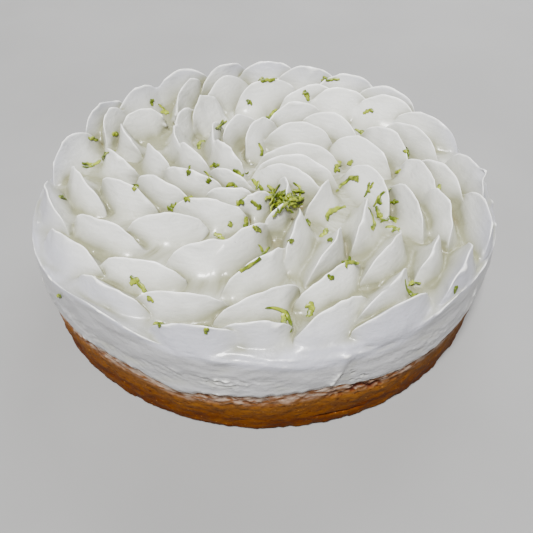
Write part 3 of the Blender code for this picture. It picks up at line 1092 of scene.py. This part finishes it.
def heap():
    """The heap's shreds, crossing one another at all angles about its middle."""
    draw = random.Random(HEAP_SEED)
    for _ in range(HEAP_COUNT):
        angle = draw.uniform(0, math.pi)
        half = draw.uniform(*HEAP_LENGTHS) / 2
        across = HEAP_MIDDLE[0] + draw.gauss(0, 0.5) * HEAP_SPREAD[0]
        down = HEAP_MIDDLE[1] + draw.gauss(0, 0.5) * HEAP_SPREAD[1]
        curl = draw.uniform(-HEAP_CURL, HEAP_CURL)
        lift = draw.uniform(0, HEAP_LIFT)
        yield *ends_about(across, down, half, angle), curl, lift, HEAP_WIDTH


def offcuts():
    """A short bit across each single shred, because a grater tears more than it cuts."""
    draw = random.Random(OFFCUT_SEED)
    for start, end, _ in SHREDS:
        run = (end[0] - start[0], end[1] - start[1])
        half = max(OFFCUT_LEAST, draw.uniform(*OFFCUT_LENGTHS) * math.hypot(*run)) / 2
        angle = math.atan2(run[1], run[0]) + draw.uniform(*OFFCUT_ANGLES) * draw.choice((-1, 1))
        share = draw.uniform(*OFFCUT_PLACES)
        across, down = start[0] + share * run[0], start[1] + share * run[1]
        yield *ends_about(across, down, half, angle), OFFCUT_BEND, OFFCUT_LIFT, SHRED_WIDTH


print(len(SHREDS), "shreds laid singly, as many offcuts, and", HEAP_COUNT, "in the heap")

# %% [markdown]
# Rays from the camera find the surface under each point of a shred. A stiff shred can't
# follow a cliff, so its slope is limited before it is laid.

# %% Laying a shred
SHRED_STEPS = 9
SLACK = 0.15
STEEPEST = 0.9


def sight(across, down):
    """The direction of sight from the eye through a place in the picture."""
    right = Vector((1, 0, 0))
    up = Vector((0, math.sin(EYE_ELEVATION), math.cos(EYE_ELEVATION)))
    ahead = Vector((0, math.cos(EYE_ELEVATION), -math.sin(EYE_ELEVATION)))
    sideways = (across - EYE_MIDDLE[0]) / EYE_FOCUS
    upwards = (EYE_MIDDLE[1] - down) / EYE_FOCUS
    return (ahead + sideways * right + upwards * up).normalized()


def laid(start, end, bend, surface):
    """The line that a shred takes on the surface, and the surface's normal at its middle."""
    run = (end[0] - start[0], end[1] - start[1])
    rays = []
    for step in range(SHRED_STEPS + 1):
        share = step / SHRED_STEPS
        bow = 4 * bend * share * (1 - share)
        rays.append(
            sight(
                start[0] + share * run[0] + bow * run[1],
                start[1] + share * run[1] - bow * run[0],
            )
        )
    _, normal, _, far = surface.ray_cast(eye, rays[SHRED_STEPS // 2])
    span = far * math.hypot(*run) / EYE_FOCUS
    line = []
    for step, ray in enumerate(rays):
        slack = span * (SLACK + STEEPEST * abs(step / SHRED_STEPS - 0.5))
        met = surface.ray_cast(eye, ray)[3] or far
        line.append(eye + ray * min(max(met, far - slack), far + slack))
    return line, normal if normal.dot(rays[0]) < 0 else -normal


soft_skin = BVHTree.FromObject(meringue, bpy.context.evaluated_depsgraph_get())
print("the shreds' surface is", in_mm(soft_skin.ray_cast(eye, sight(*HEAP_MIDDLE))[0]), "mm at the heap")

# %% [markdown]
# A grater cuts a shred as a thin flat ribbon, wider in the middle, with a rough edge and a
# curl. Each one here is a ball drawn out between its poles, flattened, and bent along its
# line. Its lower half sits in the meringue.

# %% The shreds themselves
SHRED_THICKNESS = 0.0007
SHRED_SHOWN = 0.7
SHRED_SIDES = 8
SHRED_WIDTHS = (0.75, 1.2)
BLUNTNESS = 0.18
RAGGEDNESS = 0.6
RAGS_ALONG = 0.6
RAGS_ROUND = 2
KINK = 0.0005
KINKS_ALONG = 0.9


def shred(number, start, end, bend, lift, width, surface, bm):
    line, normal = laid(start, end, bend, surface)
    draw = random.Random(number)
    made = bmesh.ops.create_uvsphere(
        bm, u_segments=SHRED_SIDES, v_segments=2 * SHRED_STEPS, radius=1
    )
    along = (line[-1] - line[0]).normalized()
    across = normal.cross(along).normalized()
    width *= draw.uniform(*SHRED_WIDTHS)
    for vert in made["verts"]:
        reach = (vert.co.z + 1) / 2 * SHRED_STEPS
        step = min(int(reach), SHRED_STEPS - 1)
        spine = line[step].lerp(line[step + 1], reach - step)
        girth = max(math.hypot(vert.co.x, vert.co.y), TINY)
        side, up = vert.co.x / girth, vert.co.y / girth
        blunt = max(0.0, 1 - vert.co.z**2) ** BLUNTNESS
        rag = noise.noise(Vector((reach * RAGS_ALONG, side * RAGS_ROUND, number)))
        kink = KINK * noise.noise(Vector((reach * KINKS_ALONG, number, 0.5)))
        out = across * (side * blunt * (1 + RAGGEDNESS * rag) * width / 2 + kink)
        raised = lift + SHRED_THICKNESS * (blunt * up / 2 + SHRED_SHOWN - 0.5)
        vert.co = spine + out + normal * raised


zest_bm = bmesh.new()
singles = [(*single, 0.0, SHRED_WIDTH) for single in SHREDS]
for number, (start, end, bend, lift, width) in enumerate([*singles, *offcuts(), *heap()]):
    shred(number, start, end, bend, lift, width, soft_skin, zest_bm)
lime_zest = piece_from("lime_zest", zest_bm)
print("zest:", len(lime_zest.data.polygons), "faces")

# %% [markdown]
# Several finishes here need the same two effects: patches of one tone in another, and a fine
# grain that roughens the surface. Each is a node group, built once, with its own sizes as
# named inputs. The patterns read Object coordinates, so they stay fixed to the tart from
# every side.

# %% Shared effects as node groups


def add(tree, kind, settings=(), **sockets):
    """A node with its settings and inputs. An input given as a socket is linked."""
    made = tree.nodes.new(kind)
    for name, value in dict(settings).items():
        setattr(made, name, value)
    for name, value in sockets.items():
        socket = made.inputs[name.replace("_", " ")]
        if isinstance(value, bpy.types.NodeSocket):
            tree.links.new(value, socket)
        else:
            socket.default_value = value
    return made


def effect(name, inputs, output):
    """An empty node group with float inputs and one float output."""
    group = bpy.data.node_groups.new(name, "ShaderNodeTree")
    group.interface.new_socket("Vector", in_out="INPUT", socket_type="NodeSocketVector")
    for socket, value in inputs:
        made = group.interface.new_socket(socket, in_out="INPUT", socket_type="NodeSocketFloat")
        made.default_value = value
    group.interface.new_socket(output, in_out="OUTPUT", socket_type="NodeSocketFloat")
    return group, group.nodes.new("NodeGroupInput"), group.nodes.new("NodeGroupOutput")


def ramp(tree, value, low, high, turn="LINEAR"):
    """0 where the value is low, 1 where it is high, and a turn of some kind between them."""
    settings = (("interpolation_type", turn),)
    made = add(tree, "ShaderNodeMapRange", settings, Value=value, From_Min=low, From_Max=high)
    return made.outputs["Result"]


def worked_out(tree, operation, first, second):
    """Two values added or multiplied."""
    made = add(tree, "ShaderNodeMath", (("operation", operation),))
    tree.links.new(first, made.inputs[0])
    tree.links.new(second, made.inputs[1])
    return made.outputs["Value"]


patches, given, result = effect("Patches", (("Scale", 40.0), ("Low", 0.4), ("High", 0.6)), "Mask")
place, scale = given.outputs["Vector"], given.outputs["Scale"]
clouds = add(patches, "ShaderNodeTexNoise", Vector=place, Scale=scale, Detail=4.0).outputs["Fac"]
mask = ramp(patches, clouds, given.outputs["Low"], given.outputs["High"], "SMOOTHSTEP")
patches.links.new(mask, result.inputs["Mask"])

fine_grain, given, result = effect("Fine grain", (("Scale", 900.0), ("Pits", 0.3)), "Height")
place, scale = given.outputs["Vector"], given.outputs["Scale"]
dust = add(fine_grain, "ShaderNodeTexNoise", Vector=place, Scale=scale, Detail=6.0).outputs["Fac"]
holes = add(fine_grain, "ShaderNodeTexVoronoi", Vector=place, Scale=scale).outputs["Distance"]
holes = worked_out(fine_grain, "MULTIPLY", holes, given.outputs["Pits"])
fine_grain.links.new(worked_out(fine_grain, "ADD", dust, holes), result.inputs["Height"])
print("node groups:", [group.name for group in bpy.data.node_groups])

# %% [markdown]
# Every finish starts from a material, its Principled shader and Object coordinates. A few
# helpers read a value from the mesh, place an effect, and turn one tone into another by a
# mask, so that each finish below reads as a list of its tones.

# %% Helpers for the finishes
MIX_INPUTS = (0, 6, 7)
MIX_COLOUR = 2


def finish(name, roughness):
    """A new material, its tree, its shader and its Object coordinates."""
    made = bpy.data.materials.new(name)
    made.use_nodes = True
    tree = made.node_tree
    shader = tree.nodes["Principled BSDF"]
    shader.inputs["Roughness"].default_value = roughness
    return made, tree, shader, add(tree, "ShaderNodeTexCoord").outputs["Object"]


def stored(tree, name):
    """The value that the mesh keeps under a name."""
    return add(tree, "ShaderNodeAttribute", (("attribute_name", name),)).outputs["Fac"]


def stretched(tree, where, upwards):
    """Coordinates in which a pattern is squeezed upwards, so that it lies in level layers."""
    made = add(tree, "ShaderNodeMapping", Vector=where, Scale=(1.0, 1.0, upwards))
    return made.outputs["Vector"]


def use(tree, group, where, **values):
    """Places an effect in a material and gives its output."""
    placed = add(tree, "ShaderNodeGroup", (("node_tree", group),), Vector=where, **values)
    return placed.outputs[0]


def mixed(tree, mask, first, second):
    """One tone turning into another as the mask goes from 0 to 1."""
    made = add(tree, "ShaderNodeMix", (("data_type", "RGBA"),))
    for number, value in zip(MIX_INPUTS, (mask, first, second)):
        if isinstance(value, bpy.types.NodeSocket):
            tree.links.new(value, made.inputs[number])
        else:
            made.inputs[number].default_value = (*value, 1.0)
    return made.outputs[MIX_COLOUR]


def roughen(tree, shader, height, strength, depth):
    bump = add(tree, "ShaderNodeBump", Strength=strength, Distance=depth, Height=height)
    tree.links.new(bump.outputs["Normal"], shader.inputs["Normal"])


print("a Mix node for colours takes its mask and tones at inputs", MIX_INPUTS)

# %% [markdown]
# Whipped meringue is a white foam. Light goes a little way into it and comes out again, so
# its shadows are a little pale, and that is subsurface scattering. Most of its light and shade
# is painted into the base colour. The hollows get painted shade, darker deep down, with a
# faint painted yellow for the light that has been from petal to petal and taken on a trace of
# the egg white and sugar. The crests get a painted highlight. The outsides of the rim petals
# get painted cool shade, and the band painted shade over a greyer foam. The values stored on
# the mesh say where each tone goes. The nozzle and the spatula left fine level lines, which a
# stretched grain gives as a bump.

# %% The finish of the meringue
FOAM = (0.72, 0.725, 0.70)
# Painted cool shade on the outsides of the rim petals
FOAM_RIM_PAINTED_SHADE = (0.44, 0.445, 0.495)
# The band: partly a greyer spread foam, partly painted shade
FOAM_SPREAD_GREY_AND_SHADE = (0.37, 0.37, 0.38)
# Painted shade in the hollows, with a painted yellow for bounced light, darker deep down
FOAM_PAINTED_HOLLOW_SHADE = (0.21, 0.212, 0.13)
FOAM_PAINTED_DEEP_SHADE = (0.13, 0.108, 0.042)
# A painted highlight on the crests
FOAM_PAINTED_HIGHLIGHT = (0.99, 0.99, 0.955)
PAINTED_SHADE_SPAN = (0.0, 0.41)
PAINTED_DEEP_SHADE_SPAN = (0.50, 0.78)

meringue_finish, tree, shader, where = finish("Whipped meringue", 0.42)
painted_shade_mask = stored(tree, "painted_shade_mask")
# Painted cool shade on the outsides of the rim petals
foam = mixed(tree, stored(tree, "rim"), FOAM, FOAM_RIM_PAINTED_SHADE)
# The band: partly a greyer spread foam, partly painted shade
foam = mixed(tree, stored(tree, "spread"), foam, FOAM_SPREAD_GREY_AND_SHADE)
# Painted shade in the hollows, and more of it deep down
foam = mixed(tree, ramp(tree, painted_shade_mask, *PAINTED_SHADE_SPAN), foam, FOAM_PAINTED_HOLLOW_SHADE)
foam = mixed(tree, ramp(tree, painted_shade_mask, *PAINTED_DEEP_SHADE_SPAN), foam, FOAM_PAINTED_DEEP_SHADE)
# A painted highlight on the crests
foam = mixed(tree, stored(tree, "crest"), foam, FOAM_PAINTED_HIGHLIGHT)
tree.links.new(foam, shader.inputs["Base Color"])
shader.inputs["Coat Weight"].default_value = 0.45
shader.inputs["Coat Roughness"].default_value = 0.2
shader.inputs["Subsurface Weight"].default_value = 0.1
shader.inputs["Subsurface Radius"].default_value = (1.0, 0.95, 0.8)
shader.inputs["Subsurface Scale"].default_value = 0.0015
shader.inputs["IOR"].default_value = 1.4
foam_grain = use(tree, fine_grain, where, Scale=520.0, Pits=0.15)
lines = use(tree, fine_grain, stretched(tree, where, 6.0), Scale=90.0, Pits=0.0)
roughen(tree, shader, worked_out(tree, "ADD", foam_grain, lines), 0.4, 0.0006)
meringue.data.materials.clear()
meringue.data.materials.append(meringue_finish)
print("finished", meringue_finish.name)

# %% [markdown]
# Baked shortcrust is a deep golden brown low on the wall, paler above, and dusted near the
# edge with the meringue that brushed it. The tone follows how far up the wall a point is,
# which was stored on the mesh, and breaks up in level patches. The pits and the crack have
# a stored value too, which turns them dark.

# %% The finish of the pastry
CRUST_BROWN = (0.072, 0.0160, 0.0003)
CRUST_GOLDEN = (0.118, 0.0350, 0.0010)
CRUST_WARM = (0.168, 0.066, 0.010)
CRUST_SPECKS = (0.055, 0.010, 0.0006)
CRUST_FLECKS = (0.34, 0.17, 0.045)
CRUST_BRITTLE = (0.170, 0.072, 0.028)
CRUST_DUSTED = (0.42, 0.32, 0.25)
CRUST_DARK = (0.075, 0.012, 0.006)
WARM = (0.30, 0.72)
BRITTLE = (0.66, 0.92)

pastry_finish, tree, shader, where = finish("Browned pastry", 0.62)
up_wall = stored(tree, "up_the_wall")
level = stretched(tree, where, 3.2)
golden = use(tree, patches, level, Scale=70.0, Low=0.36, High=0.66)
crust = mixed(tree, golden, CRUST_BROWN, CRUST_GOLDEN)
crust = mixed(tree, ramp(tree, up_wall, *WARM), crust, CRUST_WARM)
specks = use(tree, patches, level, Scale=420.0, Low=0.52, High=0.74)
crust = mixed(tree, specks, crust, CRUST_SPECKS)
flecks = use(tree, patches, where, Scale=900.0, Low=0.66, High=0.74)
crust = mixed(tree, flecks, crust, CRUST_FLECKS)
brittle = ramp(tree, up_wall, *BRITTLE, "SMOOTHSTEP")
crust = mixed(tree, brittle, crust, CRUST_BRITTLE)
dusting = use(tree, patches, level, Scale=190.0, Low=0.38, High=0.58)
crust = mixed(tree, worked_out(tree, "MULTIPLY", brittle, dusting), crust, CRUST_DUSTED)
crust = mixed(tree, stored(tree, "dark"), crust, CRUST_DARK)
tree.links.new(crust, shader.inputs["Base Color"])
shader.inputs["Specular IOR Level"].default_value = 0.06
roughen(tree, shader, use(tree, fine_grain, where, Scale=1300.0, Pits=0.5), 0.3, 0.0003)
for piece in (baked_case, crumbs):
    piece.data.materials.append(pastry_finish)
print("finished", pastry_finish.name)

# %% [markdown]
# Lime peel is a strong yellow green outside and pale where the grater reached the pith, and
# it is still moist. The two tones change from shred to shred and along each one.

# %% The finish of the zest
PEEL = (0.068, 0.102, 0.001)
PITH_SIDE = (0.255, 0.305, 0.018)

zest_finish, tree, shader, where = finish("Lime peel", 0.38)
grated = use(tree, patches, where, Scale=260.0, Low=0.40, High=0.62)
tree.links.new(mixed(tree, grated, PEEL, PITH_SIDE), shader.inputs["Base Color"])
roughen(tree, shader, use(tree, fine_grain, where, Scale=2200.0, Pits=0.5), 0.3, 0.0002)
lime_zest.data.materials.append(zest_finish)
print("finished", zest_finish.name)

# %% [markdown]
# Each piece is tied to the body that carries it, and the solid that it stands for is hidden.
# The zest is part of the meringue's solid, so that solid is hidden for both.

# %% Tying the pieces to the frame
for piece in (baked_case, crumbs):
    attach(piece, "root")
    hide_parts("pastry_case")
for piece in (meringue, lime_zest):
    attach(piece, "root")
    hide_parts("meringue")

# %% [markdown]
# The setting is a plain pale floor, one wide face under the tart. Its two tones are so close
# that it looks plain, but not like a flat colour. It is marked as stage, because it isn't
# part of the tart.

# %% The floor
FLOOR_SIZE = 2.0
FLOOR_TONES = ((0.22, 0.22, 0.218), (0.24, 0.24, 0.238))

floor_bm = bmesh.new()
bmesh.ops.create_grid(floor_bm, x_segments=1, y_segments=1, size=FLOOR_SIZE)
floor = piece_from("floor", floor_bm)
floor.data.transform(Matrix.Translation((0, 0, cad_box[0].z)))
floor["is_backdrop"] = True
floor_finish, tree, shader, where = finish("Pale floor", 0.7)
clouded = use(tree, patches, where, Scale=8.0, Low=0.3, High=0.7)
tree.links.new(mixed(tree, clouded, *FLOOR_TONES), shader.inputs["Base Color"])
floor.data.materials.append(floor_finish)
print("the floor is", 2 * FLOOR_SIZE, "m wide")

# %% [markdown]
# The key lamp is high and a little in front, so the level foam is bright, and the faces that
# turn away fall into a soft grey. A wide weak lamp behind keeps the far side readable when
# the tart is seen from there. Both are far lamps, because a near one would leave the floor
# dark in the distance. The world gives a faint cool fill, and only to the eye is it a pale
# backdrop.

# %% Lamps and world
LIT_MIDDLE = Vector((0, 0, 0.04))
FILL_COLOUR = (0.92, 0.94, 1.0, 1.0)
FILL_STRENGTH = 0.07
BACKDROP_COLOUR = (0.50, 0.50, 0.50, 1.0)


def lamp(name, place, degrees_wide, strength, colour):
    """A soft lamp so far off, in the direction of its place, that it lights the floor evenly."""
    data = bpy.data.lights.new(name, "SUN")
    data.angle = math.radians(degrees_wide)
    data.energy = strength
    data.color = colour
    made = bpy.data.objects.new(name, data)
    made.location = place
    made.rotation_euler = (LIT_MIDDLE - Vector(place)).to_track_quat("-Z", "Y").to_euler()
    bpy.context.scene.collection.objects.link(made)


lamp("key", (-0.07, -0.31, 0.72), 14, 9.2, (1.0, 0.99, 0.98))
lamp("back", (0.16, 0.62, 0.42), 40, 2.5, (0.97, 0.98, 1.0))
world = bpy.data.worlds.new("studio")
world.use_nodes = True
tree = world.node_tree
fill = tree.nodes["Background"]
fill.inputs["Color"].default_value = FILL_COLOUR
fill.inputs["Strength"].default_value = FILL_STRENGTH
backdrop = add(tree, "ShaderNodeBackground", Color=BACKDROP_COLOUR, Strength=1.0)
seen = add(tree, "ShaderNodeLightPath").outputs["Is Camera Ray"]
shown = add(tree, "ShaderNodeMixShader", Fac=seen)
tree.links.new(fill.outputs["Background"], shown.inputs[1])
tree.links.new(backdrop.outputs["Background"], shown.inputs[2])
tree.links.new(shown.outputs["Shader"], tree.nodes["World Output"].inputs["Surface"])
bpy.context.scene.world = world
print("lamps:", [data.name for data in bpy.data.lights])

# %% [markdown]
# The dressed tart has to stay the size of its solids, whose box was printed at the start, so
# its own box is printed here.

# %% Measure and finish
visual_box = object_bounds()
print("the dressed tart measures", in_mm(visual_box[1] - visual_box[0]), "mm")
